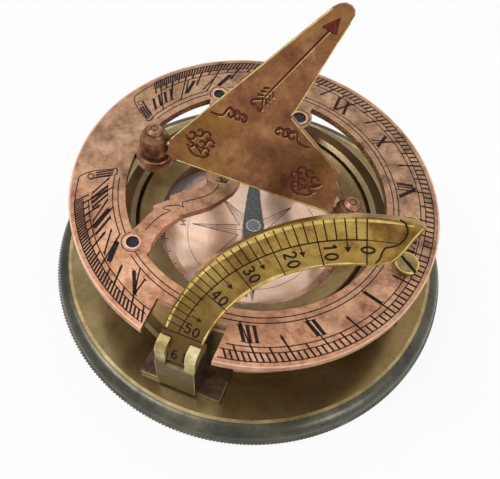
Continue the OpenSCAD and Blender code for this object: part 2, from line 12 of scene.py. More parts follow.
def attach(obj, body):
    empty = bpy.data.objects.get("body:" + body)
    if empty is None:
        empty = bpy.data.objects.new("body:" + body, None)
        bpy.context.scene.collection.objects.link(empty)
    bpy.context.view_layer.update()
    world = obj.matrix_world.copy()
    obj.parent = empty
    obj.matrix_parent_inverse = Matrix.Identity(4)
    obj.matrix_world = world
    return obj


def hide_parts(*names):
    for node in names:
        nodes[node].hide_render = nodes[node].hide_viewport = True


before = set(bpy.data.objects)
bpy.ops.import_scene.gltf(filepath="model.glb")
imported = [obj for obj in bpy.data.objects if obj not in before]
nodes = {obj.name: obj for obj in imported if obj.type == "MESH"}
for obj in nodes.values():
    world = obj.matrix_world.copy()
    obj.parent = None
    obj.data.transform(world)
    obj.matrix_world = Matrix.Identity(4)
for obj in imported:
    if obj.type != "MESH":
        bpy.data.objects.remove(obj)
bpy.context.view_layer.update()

MM = 0.001

# Sizes repeated from the part, in millimetres
HINGE_X = 46.7
HINGE_Z = 25.7
RING_TOP = 32.1
RING_TILT = math.radians(2.6)
RING_R = 50.6
SOUTH_SINK_R = 1.7
NORTH_SINK_R = 2.05
SINK_DEPTH = 0.8
SOUTH_SINKS = ((37.1, -129.5), (37.1, 129.5))
NORTH_SINKS = ((30.6, -90.4), (30.6, 87.2))
NOTCH_HALF = 9.3
NOTCH_X = -1.75
NOTCH_Y = 40.5
PIVOT_H = 6
GNOMON_T = 1.6
GNOMON_LEAN = math.radians(30)
ARC_PIN_Y = 48
ARC_R = 53.9
ARC_INNER_R = 43
ARC_T = 2
ARC_LEAN = math.radians(29.7)
ARC_END = 84.5
RING_SCREWS = ((43.7, -5.6), (42.0, 6.2))
RING_SCREW_R = 3.3
SCREW_SLOT_H = 0.7
SCREW_SLOT_W = 0.9
SCREW_SLOT_TURN = -35
SCREW_HEAD_H = 1.5
POST_PLACES = (-31.0, 25.0)
DOME_R = 4.2
DOME_FOOT = 4.4
DOME_RISE = 6.1
CAP_TOP = 16.4
CAP_R = 2.2
PLATE_X = -1.25
PLATE_TOP = 7.6
PLATE_FRONT = -50.5
PLATE_HALF = 11.6
CLEVIS_FRONT = -51.2
CLEVIS_HALF = 5.45
CLEVIS_STEP_Z = 23
BASE_R = 60
BASE_H = 6
KNURL_H = 1.9
SHOULDER_W = 3.5
EDGE_STEP = 0.7
FLAT_TOP_R = BASE_R - EDGE_STEP - SHOULDER_W
RECESS_R = 54
RECESS_H = 1.9
DIAL_TOP = 13
DEGREE_TOP = 13.9
DEGREE_INNER_R = 24.3
DEGREE_OUTER_R = 28.5

# How far lines and the strips of painted highlight stand above their surface, and how far both reach
# below it.
# The floors of the gnomon's cuts lie higher than the cuts by CUT_LIFT, so that they show.
LINE_LIFT = 0.02
HIGHLIGHT_LIFT = 0.008
LINE_DEPTH = 0.05
CUT_LIFT = 0.012


def add_object(name, data):
    made = bpy.data.objects.new(name, data)
    bpy.context.scene.collection.objects.link(made)
    return made


def fill_ramp(node, stops):
    """Sets a colour ramp's stops, each a position and a colour."""
    elements = node.color_ramp.elements
    while len(elements) < len(stops):
        elements.new(0.5)
    for element, (position, colour) in zip(elements, stops):
        element.position = position
        element.color = (*colour, 1.0)


def mix_shaders(tree, factor, first, second):
    mix = tree.nodes.new("ShaderNodeMixShader")
    tree.links.new(factor, mix.inputs["Fac"])
    tree.links.new(first, mix.inputs[1])
    tree.links.new(second, mix.inputs[2])
    return mix.outputs["Shader"]


# Places on the object: each turns plane coordinates and a height into a point in millimetres
def on_ring(x, y, h=0.0):
    dx = x - HINGE_X
    dz = RING_TOP + h - HINGE_Z
    c = math.cos(RING_TILT)
    s = math.sin(RING_TILT)
    return Vector((HINGE_X + dx * c + dz * s, y, HINGE_Z - dx * s + dz * c))


def ring_level(rise):
    """A plane along the ring's top, this much above it, or below it where rise is negative."""
    def place(x, y, h=0.0):
        return on_ring(x, y, h + rise)
    return place


def level_plane(z):
    def place(x, y, h=0.0):
        return Vector((x, y, z + h))
    return place


def on_dome(post_x):
    """The round top of a post, in coordinates from the post's middle."""
    def place(x, y, h=0.0):
        share = max(0.0, 1 - (x * x + y * y) / (DOME_R * DOME_R))
        return on_ring(post_x + x, y, DOME_FOOT + DOME_RISE * math.sqrt(share) + h)
    return place


def on_clevis(x, z, h=0.0):
    return Vector((x, CLEVIS_FRONT - h, z))


def on_gnomon(x, y, h=0.0):
    w = GNOMON_T / 2 + h
    c = math.sin(GNOMON_LEAN)
    s = math.cos(GNOMON_LEAN)
    return on_ring(x, y * c - w * s, PIVOT_H + y * s + w * c)


def on_gnomon_cut(x, y, h=0.0):
    return on_gnomon(x, y, h + CUT_LIFT)


def on_arc(x, y, h=0.0):
    w = ARC_T / 2 + h
    c = math.sin(ARC_LEAN)
    s = math.cos(ARC_LEAN)
    return Vector((x, y * c - w * s - ARC_PIN_Y, y * s + w * c + HINGE_Z))


# Drawing of engraved lines as thin filled strips
class Engraving:
    """Collects strips and patches drawn in one plane, and makes them one mesh."""

    def __init__(self, place, lift=LINE_LIFT):
        self.place = place
        self.lift = lift
        self.verts = []
        self.faces = []

    def add_outline(self, outline):
        """A filled patch with its edge, from the points of its outline."""
        n = len(outline)
        first = len(self.verts)
        for lift in (self.lift, -LINE_DEPTH):
            for x, y in outline:
                self.verts.append(self.place(x, y, lift) * MM)
        self.faces.append([first + i for i in range(n)])
        self.faces.append([first + n + i for i in reversed(range(n))])
        for i in range(n):
            j = (i + 1) % n
            self.faces.append([first + i, first + n + i, first + n + j, first + j])

    def line(self, points, width):
        """A strip along points. width is one number, or one for each point."""
        count = len(points)
        widths = [width] * count if isinstance(width, (int, float)) else list(width)
        left = []
        right = []
        for i, (x, y) in enumerate(points):
            ax, ay = points[max(i - 1, 0)]
            bx, by = points[min(i + 1, count - 1)]
            length = math.hypot(bx - ax, by - ay) or 1.0
            nx = -(by - ay) / length * widths[i] / 2
            ny = (bx - ax) / length * widths[i] / 2
            left.append((x + nx, y + ny))
            right.append((x - nx, y - ny))
        first = len(self.verts)
        for row in zip(left, right):
            for lift in (self.lift, -LINE_DEPTH):
                for x, y in row:
                    self.verts.append(self.place(x, y, lift) * MM)
        for i in range(count - 1):
            a = first + 4 * i
            b = a + 4
            self.faces.append([a, a + 1, b + 1, b])
            self.faces.append([a + 2, b + 2, b + 3, a + 3])
            self.faces.append([a, b, b + 2, a + 2])
            self.faces.append([a + 1, a + 3, b + 3, b + 1])
        last = first + 4 * (count - 1)
        self.faces.append([first, first + 2, first + 3, first + 1])
        self.faces.append([last, last + 1, last + 3, last + 2])

    def circle(self, radius, width, start=0.0, end=360.0, centre=(0.0, 0.0), step=3.0):
        turn = end - start
        count = max(2, round(abs(turn) / step))
        self.line([polar(radius, start + turn * i / count, centre) for i in range(count + 1)], width)

    def object(self, name, body, material):
        mesh = bpy.data.meshes.new(name)
        mesh.from_pydata(self.verts, [], self.faces)
        mesh.validate()
        mesh.update()
        mesh.materials.append(materials[material])
        piece = add_object(name, mesh)
        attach(piece, body)


def polar(radius, degrees, centre=(0.0, 0.0)):
    a = math.radians(degrees)
    return (centre[0] + radius * math.cos(a), centre[1] + radius * math.sin(a))


# Curves used in the ornaments
def smooth(points, steps=6):
    """A Catmull-Rom curve through the points."""
    out = []
    last = len(points) - 1
    for i in range(last):
        p0 = points[max(i - 1, 0)]
        p1 = points[i]
        p2 = points[i + 1]
        p3 = points[min(i + 2, last)]
        for k in range(steps):
            t = k / steps
            out.append(tuple(
                0.5 * (2 * b + (c - a) * t + (2 * a - 5 * b + 4 * c - d) * t * t
                       + (3 * b - a - 3 * c + d) * t * t * t)
                for a, b, c, d in zip(p0, p1, p2, p3)))
    out.append(points[-1])
    return out


def curl(centre, radius, start, turn, inner=0.3):
    """A spiral that winds in from radius to inner * radius while it turns."""
    points = []
    count = max(6, round(abs(turn) / 25))
    for i in range(count + 1):
        t = i / count
        r = radius * (1 - t + inner * t)
        points.append(polar(r, start + turn * t, centre))
    return points


# Materials
GRAIN_SCALE = 900.0
METAL_BUMP = 0.35


class Shader:
    """A node material with a few helpers for patterns in object coordinates."""

    def __init__(self, name):
        self.material = bpy.data.materials.new(name)
        self.material.use_nodes = True
        self.tree = self.material.node_tree
        self.tree.nodes.clear()
        self.output = self.node("ShaderNodeOutputMaterial")
        self.bsdf = self.node("ShaderNodeBsdfPrincipled")
        self.link(self.bsdf.outputs["BSDF"], self.output.inputs["Surface"])
        self.coords = self.node("ShaderNodeTexCoord")

    def node(self, kind, **settings):
        made = self.tree.nodes.new(kind)
        for key, value in settings.items():
            setattr(made, key, value)
        return made

    def link(self, a, b):
        self.tree.links.new(a, b)

    def axes(self):
        """The object coordinates as separate X, Y and Z."""
        split = self.node("ShaderNodeSeparateXYZ")
        self.link(self.coords.outputs["Object"], split.inputs["Vector"])
        return split.outputs

    def noise(self, scale, detail, roughness):
        made = self.node("ShaderNodeTexNoise")
        made.inputs["Scale"].default_value = scale
        made.inputs["Detail"].default_value = detail
        made.inputs["Roughness"].default_value = roughness
        self.link(self.coords.outputs["Object"], made.inputs["Vector"])
        return made.outputs["Fac"]

    def ramp(self, value, stops):
        made = self.node("ShaderNodeValToRGB")
        fill_ramp(made, stops)
        self.link(value, made.inputs["Fac"])
        return made.outputs["Color"]

    def level(self, value, low, high, out_low, out_high):
        made = self.node("ShaderNodeMapRange")
        made.inputs["From Min"].default_value = low
        made.inputs["From Max"].default_value = high
        made.inputs["To Min"].default_value = out_low
        made.inputs["To Max"].default_value = out_high
        self.link(value, made.inputs["Value"])
        return made.outputs["Result"]

    def maths(self, operation, a, b=None):
        made = self.node("ShaderNodeMath", operation=operation)
        for socket, value in zip(made.inputs, (a, b)):
            if value is None:
                continue
            if isinstance(value, (int, float)):
                socket.default_value = value
            else:
                self.link(value, socket)
        return made.outputs[0]

    def mix(self, factor, a, b):
        made = self.node("ShaderNodeMix", data_type="RGBA")
        self.link(factor, made.inputs["Factor"])
        for socket, value in zip((made.inputs[6], made.inputs[7]), (a, b)):
            if isinstance(value, tuple):
                socket.default_value = (*value, 1.0)
            else:
                self.link(value, socket)
        return made.outputs[2]

    def turning(self, pitch):
        """Fine rings round the Z axis, as a lathe leaves them."""
        axes = self.axes()
        square = self.maths("ADD", self.maths("POWER", axes["X"], 2.0),
                            self.maths("POWER", axes["Y"], 2.0))
        radius = self.maths("SQRT", square)
        lift = self.maths("ADD", radius, axes["Z"])
        made = self.node("ShaderNodeTexNoise", noise_dimensions="1D")
        made.inputs["Scale"].default_value = 1.0
        made.inputs["Detail"].default_value = 3.0
        self.link(self.maths("MULTIPLY", lift, 1.0 / (pitch * MM)), made.inputs["W"])
        return made.outputs["Fac"]

    def above(self, low_z, high_z):
        """0 below the first height and 1 above the second, in millimetres."""
        wander = self.level(self.noise(90.0, 3.0, 0.5), 0.3, 0.7, -0.001, 0.001)
        height = self.maths("ADD", self.axes()["Z"], wander)
        return self.level(height, low_z * MM, high_z * MM, 0.0, 1.0)

    def pits(self, colour, dark):
        """Small dark pits and grains in the colour."""
        grain = self.noise(620.0, 4.0, 0.7)
        return self.mix(self.level(grain, 0.5, 0.72, 0.0, 0.6), colour, dark)

    def bump(self, height, strength, distance):
        made = self.node("ShaderNodeBump")
        made.inputs["Strength"].default_value = strength
        made.inputs["Distance"].default_value = distance * MM
        self.link(height, made.inputs["Height"])
        self.link(made.outputs["Normal"], self.bsdf.inputs["Normal"])


def srgb(r, g, b):
    """A colour as it looks on a screen, 0 to 255, as the linear values that shaders take."""
    def one(v):
        v = v / 255
        return v / 12.92 if v <= 0.04045 else ((v + 0.055) / 1.055) ** 2.4
    return (one(r), one(g), one(b))


def aged_metal(name, dark, middle, light, rough, patch=70.0, grain_lift=0.04,
               turned=None, lower=None, metallic=0.85, stain=None):
    """Metal with patches of patina, fine pits and uneven gloss.

    Colours are given as they look on a screen, 0 to 255. rough is the least and the greatest
    roughness, and turned the pitch of a lathe's rings in millimetres. lower is a darker colour
    for the foot of a piece, with the two heights in millimetres between which it fades. stain is
    a second colour in large patches, with the scale of the patches and their strength.
    """
    s = Shader(name)
    dark, middle, light = [srgb(*colour) for colour in (dark, middle, light)]
    s.bsdf.inputs["Metallic"].default_value = metallic
    patches = s.noise(patch, 6.0, 0.62)
    colour = s.ramp(patches, [(0.3, dark), (0.5, middle), (0.72, light)])
    if stain is not None:
        stain_colour, stain_scale, cover = stain
        spread = s.level(s.noise(stain_scale, 5.0, 0.6), 0.46, 0.62, 0.0, cover)
        colour = s.mix(spread, colour, srgb(*stain_colour))
    colour = s.pits(colour, dark)
    if lower is not None:
        low_colour, low_z, high_z = lower
        colour = s.mix(s.above(low_z, high_z), srgb(*low_colour), colour)
    s.link(colour, s.bsdf.inputs["Base Color"])
    gloss = s.noise(patch * 2.3, 5.0, 0.6)
    s.link(s.level(gloss, 0.3, 0.7, rough[0], rough[1]), s.bsdf.inputs["Roughness"])
    if turned is None:
        height = s.noise(GRAIN_SCALE, 3.0, 0.6)
    else:
        height = s.turning(turned)
    s.bump(height, METAL_BUMP, grain_lift)
    return s.material


def ring_copper(name):
    """Copper of the hour ring: rosy and bright on the near side, browner and darker elsewhere. The
    split between the sides is painted light.
    """
    s = Shader(name)
    s.bsdf.inputs["Metallic"].default_value = 0.9
    patches = s.noise(150.0, 8.0, 0.72)
    rosy = s.ramp(patches, [(0.32, srgb(136, 88, 64)), (0.46, srgb(188, 135, 103)),
                            (0.66, srgb(228, 178, 144))])
    brown = s.ramp(patches, [(0.32, srgb(100, 72, 54)), (0.5, srgb(172, 134, 106)),
                             (0.7, srgb(208, 166, 136))])
    wander = s.level(s.noise(30.0, 3.0, 0.5), 0.3, 0.7, -0.012, 0.012)
    across = s.maths("ADD", s.axes()["Y"], wander)
    # Painted light: the near side, at low Y, is painted lighter and rosier, and the rest darker and
    # browner.
    colour = s.mix(s.level(across, -0.034, -0.004, 0.0, 1.0), rosy, brown)
    golden = s.level(s.noise(38.0, 4.0, 0.6), 0.55, 0.72, 0.0, 0.5)
    colour = s.mix(golden, colour, srgb(178, 142, 92))
    colour = s.pits(colour, srgb(112, 76, 56))
    s.link(colour, s.bsdf.inputs["Base Color"])
    s.link(s.level(s.noise(240.0, 5.0, 0.6), 0.3, 0.7, 0.3, 0.44), s.bsdf.inputs["Roughness"])
    s.bump(s.noise(GRAIN_SCALE, 3.0, 0.6), METAL_BUMP, 0.045)
    return s.material


def enamel(name, colour, speck):
    """Coloured wax in an engraved line, with specks of a second colour. Used also for painted shade
    on the floors of the sinks and the screw slots.
    """
    s = Shader(name)
    s.bsdf.inputs["Metallic"].default_value = 0.0
    s.bsdf.inputs["Roughness"].default_value = 0.6
    s.bsdf.inputs["Specular IOR Level"].default_value = 0.12
    worn = s.noise(GRAIN_SCALE, 4.0, 0.7)
    stops = [(0.45, srgb(*colour)), (0.75, srgb(*speck))]
    s.link(s.ramp(worn, stops), s.bsdf.inputs["Base Color"])
    s.bump(s.noise(2500.0, 2.0, 0.5), 0.3, 0.02)
    return s.material


def clear_glass(name):
    s = Shader(name)
    s.bsdf.inputs["Base Color"].default_value = (0.98, 0.99, 0.99, 1.0)
    s.bsdf.inputs["Transmission Weight"].default_value = 1.0
    s.bsdf.inputs["IOR"].default_value = 1.45
    smear = s.noise(60.0, 4.0, 0.6)
    s.link(s.level(smear, 0.4, 0.8, 0.0, 0.04), s.bsdf.inputs["Roughness"])
    open_to_lamps = s.node("ShaderNodeBsdfTransparent")
    rays = s.node("ShaderNodeLightPath")
    seen = mix_shaders(s.tree, rays.outputs["Is Shadow Ray"], s.bsdf.outputs["BSDF"],
                       open_to_lamps.outputs["BSDF"])
    s.link(seen, s.output.inputs["Surface"])
    return s.material


materials = {
    "olive": aged_metal("olive_brass", (108, 92, 60), (142, 124, 84), (166, 150, 112),
                        (0.13, 0.24), patch=45.0, turned=0.35, grain_lift=0.01,
                        metallic=0.75, stain=((136, 106, 56), 28.0, 0.6)),
    # Painted reflection: the knurled band and the shoulder are the base's brass painted dark grey
    # for the dark surroundings they reflect.
    "band": aged_metal("band_brass_painted_reflection", (64, 66, 58), (94, 94, 80), (134, 130, 110),
                       (0.3, 0.5)),
    "shoulder": aged_metal("shoulder_brass_painted_reflection", (50, 49, 43), (74, 72, 62),
                           (104, 100, 86), (0.24, 0.38), patch=60.0),
    "bowl": aged_metal("bowl_brass", (110, 94, 66), (140, 122, 90), (164, 146, 114),
                       (0.26, 0.4), patch=60.0, turned=0.3, grain_lift=0.012),
    "retainer": aged_metal("retainer_brass", (112, 92, 58), (150, 126, 82),
                           (184, 160, 112), (0.22, 0.36), patch=60.0, turned=0.3,
                           grain_lift=0.014, metallic=0.65),
    "under": aged_metal("cover_brass", (90, 76, 50), (124, 104, 66), (150, 128, 84),
                        (0.35, 0.5), turned=0.6),
    "ring": ring_copper("ring_copper"),
    "gnomon": aged_metal("gnomon_brass", (98, 58, 40), (138, 92, 60),
                         (180, 132, 84), (0.26, 0.4), patch=110.0, grain_lift=0.06,
                         stain=((146, 106, 44), 42.0, 0.6)),
    "bronze": aged_metal("post_bronze", (88, 60, 44), (132, 94, 70), (182, 138, 106),
                         (0.3, 0.44), patch=260.0, grain_lift=0.08),
    "arc": aged_metal("arc_brass", (92, 58, 26), (164, 132, 64), (208, 180, 100),
                      (0.2, 0.34), patch=110.0, grain_lift=0.035, metallic=0.9,
                      lower=((98, 74, 38), 28, 54), stain=((112, 74, 34), 55.0, 0.6)),
    "pale": aged_metal("clevis_brass", (148, 126, 74), (208, 188, 132),
                       (238, 224, 176), (0.26, 0.4), patch=190.0, metallic=0.75,
                       lower=((84, 66, 46), 22.4, 24.6)),
    "plate": aged_metal("plate_brass", (78, 62, 50), (114, 94, 78), (152, 128, 106),
                        (0.22, 0.36), patch=120.0),
    "screw": aged_metal("screw_brass", (92, 76, 48), (140, 122, 80), (190, 176, 124),
                        (0.22, 0.36), patch=220.0, metallic=0.95),
    "cap": aged_metal("cap_steel", (58, 66, 78), (84, 94, 108), (112, 122, 134),
                      (0.25, 0.4), patch=220.0),
    # Painted highlights: bright copper and brass for the strips along edges, which stand for the
    # light the edges catch.
    "highlight_copper": aged_metal("highlight_copper", (206, 158, 128), (228, 182, 150),
                              (240, 204, 176), (0.3, 0.42), patch=160.0),
    "highlight_brass": aged_metal("highlight_brass", (168, 134, 66), (220, 190, 108),
                             (250, 234, 172), (0.22, 0.34), patch=240.0),
    "highlight_rim_brass": aged_metal("highlight_rim_brass", (130, 112, 74), (168, 148, 102),
                           (206, 188, 142), (0.28, 0.42), patch=120.0),
    "dark": aged_metal("hinge_brass", (92, 74, 52), (130, 106, 76), (164, 138, 104),
                       (0.32, 0.48), patch=120.0),
    "dial": aged_metal("dial_copper", (238, 190, 160), (252, 212, 184),
                       (255, 226, 204), (0.14, 0.24), patch=60.0, grain_lift=0.01,
                       metallic=0.6),
    "degree": aged_metal("degree_copper", (176, 130, 104), (206, 160, 130), (224, 184, 152),
                         (0.3, 0.42), patch=90.0),
    "needle": aged_metal("blued_steel", (24, 26, 30), (40, 41, 46), (60, 61, 66),
                         (0.2, 0.34), patch=150.0),
    "glass": clear_glass("compass_glass"),
    # Black wax of the engraved lines. In the screw slots the same black is painted shade.
    "black": enamel("black_wax_and_slot_shade", (30, 22, 20), (70, 50, 40)),
    "brown": enamel("brown_wax", (74, 42, 32), (130, 84, 62)),
    "red": enamel("red_brown_wax", (96, 36, 32), (140, 72, 52)),
    "cut": enamel("dark_cut", (58, 32, 24), (98, 62, 44)),
    # Painted shade: the slate colour on the floors of the sinks.
    "slate": enamel("sink_floor_painted_shade", (40, 46, 56), (66, 72, 82)),
}

NODE_MATERIALS = {
    "bottom_cover": "under", "cover_screws": "screw", "compass_bowl": "bowl",
    "bowl_screws": "screw", "glass_retainer": "retainer", "compass_glass": "glass",
    "compass_dial": "dial", "degree_ring": "degree", "pivot_pin": "screw",
    "compass_needle": "needle", "needle_cap": "cap", "hour_ring": "ring",
    "hinge_leaf": "dark", "hinge_bracket": "dark", "hinge_pin": "screw",
    "ring_screws": "screw", "bracket_screws": "screw", "south_post": "bronze",
    "north_post": "bronze", "post_nuts": "screw", "gnomon": "gnomon",
    "gnomon_pivots": "screw", "latitude_arc": "arc", "arc_pin": "pale",
    "arc_clevis": "pale", "clevis_plate": "plate", "clevis_screws": "screw",
    "base_plate": "olive",
}


def dress_nodes():
    for name, key in NODE_MATERIALS.items():
        data = nodes[name].data
        data.materials.clear()
        data.materials.append(materials[key])


# Base with its knurled band, in place of the plain solid
KNURLS = 360
KNURL_COLUMNS = 4
BASE_COLUMNS = KNURL_COLUMNS * KNURLS
GROOVE_DEPTH = 0.45
GROOVE_MIDDLE_Z = 0.9
GROOVE_TWIST = 0.7       # knurls that a groove moves sideways in one millimetre of height
TOP_FACE_R = 41          # inside this the flat top is a single face


def base_profile():
    """Radius, height and how deeply the knurls cut, from the recess out and up to the top."""
    profile = [(RECESS_R, RECESS_H, 0.0), (RECESS_R, 0.0, 0.0), (BASE_R - 0.6, 0.0, 0.0),
               (BASE_R - 0.15, 0.25, 1.0), (BASE_R - 0.02, 0.6, 1.0), (BASE_R - 0.02, 1.2, 1.0),
               (BASE_R - 0.15, KNURL_H - 0.35, 1.0), (BASE_R - 0.5, KNURL_H - 0.1, 0.3),
               (BASE_R - EDGE_STEP, KNURL_H, 0.0)]
    for degrees in range(10, 91, 10):
        c, s = polar(1, degrees)
        profile.append((BASE_R - EDGE_STEP - SHOULDER_W * (1 - c),
                        KNURL_H + (BASE_H - KNURL_H) * s, 0.0))
    profile.append((FLAT_TOP_R - 0.6, BASE_H, 0.0))
    profile.append((TOP_FACE_R, BASE_H, 0.0))
    return profile


def base_point(r, z, grooved, column):
    phase = 2 * math.pi * column / KNURL_COLUMNS
    twist = GROOVE_TWIST * math.radians(360 / KNURLS) * (z - GROOVE_MIDDLE_Z)
    a = 2 * math.pi * column / BASE_COLUMNS + twist * grooved
    cut_r = r - grooved * GROOVE_DEPTH * (0.5 - 0.5 * math.cos(phase))
    return Vector((cut_r * math.cos(a), cut_r * math.sin(a), z)) * MM


def paint_base(mesh):
    """Olive brass, with a dark knurled band and a dark shoulder, both a painted reflection of dark
    surroundings. Flat faces aren't smoothed.
    """
    for key in ("olive", "band", "shoulder"):
        mesh.materials.append(materials[key])
    band_top = (KNURL_H + 0.05) * MM
    for polygon in mesh.polygons:
        polygon.use_smooth = len(polygon.vertices) == 4 and abs(polygon.normal.z) < 0.9999
        radius = polygon.center.to_2d().length
        if polygon.center.z < band_top and radius > (BASE_R - 1) * MM:
            polygon.material_index = 1
        elif radius > FLAT_TOP_R * MM and polygon.center.z > band_top:
            polygon.material_index = 2


def make_base():
    profile = base_profile()
    verts = [base_point(*row, column) for row in profile for column in range(BASE_COLUMNS)]
    faces = []
    for row in range(len(profile) - 1):
        a = row * BASE_COLUMNS
        b = a + BASE_COLUMNS
        for i in range(BASE_COLUMNS):
            j = (i + 1) % BASE_COLUMNS
            faces.append([a + i, a + j, b + j, b + i])
    top = (len(profile) - 1) * BASE_COLUMNS
    faces.append([top + i for i in range(BASE_COLUMNS)])
    faces.append(list(reversed(range(BASE_COLUMNS))))
    mesh = bpy.data.meshes.new("knurled_base")
    mesh.from_pydata(verts, [], faces)
    mesh.update()
    piece = add_object("knurled_base", mesh)
    paint_base(mesh)
    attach(piece, "base")
    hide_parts("base_plate")


# Hour ring: its hour lines fan out from two points near the gnomon's south foot, one for each
# side. The scale between the two outer circles is a ladder with twelve rungs to the hour.
HOUR_ORIGIN_X = -27.5
HOUR_ORIGIN_Y = 0.8
LADDER_OUT = 49.1
LADDER_IN = 46.8
QUARTER_IN = 45.4
INNER_LINE_OUT = 39.2
INNER_LINE_IN = 37.8
LAST_HOUR = 8.25
RUNGS = 12
CIRCLE_LINE = 0.29
RUNG_LINE = 0.52
RUNG_SHARE = 0.62
QUARTER_LINE = 0.48
HOUR_LINE = 0.4
HALF_HOUR_STOPS = (LADDER_IN, 44.6, 42.9, 42.2)
HALF_HOUR_LINES = (0.45, 0.5, 0.72, 0.1)


def hour_point(hour, radius):
    """Where the line of an hour after noon meets a circle. Hours before noon are negative."""
    side = 1 if hour < 0 else -1
    a = math.radians(15 * abs(hour))
    dx = math.cos(a)
    dy = math.sin(a)
    ox = HOUR_ORIGIN_X
    oy = HOUR_ORIGIN_Y
    b = ox * dx + oy * dy
    t = -b + math.sqrt(b * b - ox * ox - oy * oy + radius * radius)
    return (ox + t * dx, side * (oy + t * dy))


def hits_notch(point):
    return point[1] < -NOTCH_Y + 0.4 and abs(point[0] - NOTCH_X) < NOTCH_HALF + 0.2


def angle_of(point):
    return math.degrees(math.atan2(point[1], point[0]))


def ring_circle(engraving, radius, width, start, end, step=1.5):
    """A circle on the ring that leaves out the notch."""
    count = round((end - start) / step)
    run = []
    for i in range(count + 1):
        point = polar(radius, start + (end - start) * i / count)
        if hits_notch(point):
            if len(run) > 1:
                engraving.line(run, width)
            run = []
        else:
            run.append(point)
    if len(run) > 1:
        engraving.line(run, width)


def make_hour_scale():
    e = Engraving(on_ring)
    last = angle_of(hour_point(-LAST_HOUR, LADDER_OUT))
    for radius in (LADDER_OUT, LADDER_IN, QUARTER_IN):
        ring_circle(e, radius, CIRCLE_LINE, -last, last)
    last_rung = round(RUNGS * LAST_HOUR)
    for rung in range(-last_rung, last_rung + 1):
        hour = rung / RUNGS
        outer = hour_point(hour, LADDER_OUT)
        if hits_notch(outer) or hits_notch(hour_point(hour, QUARTER_IN)):
            continue
        pitch = math.dist(outer, hour_point(hour + 1 / RUNGS, LADDER_OUT))
        e.line([outer, hour_point(hour, LADDER_IN)], min(RUNG_LINE, RUNG_SHARE * pitch))
        if rung % (RUNGS // 4) == 0:
            e.line([hour_point(hour, LADDER_IN), hour_point(hour, QUARTER_IN)], QUARTER_LINE)
        if rung % RUNGS == RUNGS // 2 and not hits_notch(hour_point(hour, HALF_HOUR_STOPS[-1])):
            e.line([hour_point(hour, r) for r in HALF_HOUR_STOPS], HALF_HOUR_LINES)
        if rung % RUNGS == 0 and not hits_notch(hour_point(hour, INNER_LINE_OUT)):
            e.line([hour_point(hour, QUARTER_IN), hour_point(hour, INNER_LINE_OUT)], HOUR_LINE)
    e.object("hour_scale", "ring", "black")


def make_inner_lines():
    """Two lines round the inner edge, which stop at the curve round each south sink."""
    e = Engraving(on_ring)
    panel_start = 162.0
    half = 4.6
    eye = SOUTH_SINKS[1][1]
    for radius in (INNER_LINE_OUT, INNER_LINE_IN):
        ring_circle(e, radius, CIRCLE_LINE, -eye + half, eye - half)
        ring_circle(e, radius, CIRCLE_LINE, eye + half, panel_start)
        ring_circle(e, radius, CIRCLE_LINE, -panel_start, -eye - half)
    for distance, a in SOUTH_SINKS:
        e.circle(SOUTH_SINK_R + 1.15, 0.26, a - 105, a + 105, polar(distance, a), 8)
    for distance, a in NORTH_SINKS:
        e.circle(NORTH_SINK_R + 1.0, 0.24, centre=polar(distance, a), step=10)
    e.object("inner_lines", "ring", "black")


def make_sinks():
    """Painted shade on the floor of each sink, and a painted highlight round its edge."""
    floors = Engraving(ring_level(-SINK_DEPTH))
    rims = Engraving(on_ring)
    sinks = [(SOUTH_SINK_R, place) for place in SOUTH_SINKS]
    sinks += [(NORTH_SINK_R, place) for place in NORTH_SINKS]
    for radius, (distance, a) in sinks:
        middle = polar(distance, a)
        floors.add_outline([polar(radius - 0.02, 15 * i, middle) for i in range(24)])
        rims.circle(radius + 0.22, 0.36, centre=middle, step=10)
    floors.object("sink_floor_shade", "ring", "slate")
    rims.object("sink_rim_highlights", "ring", "highlight_copper")


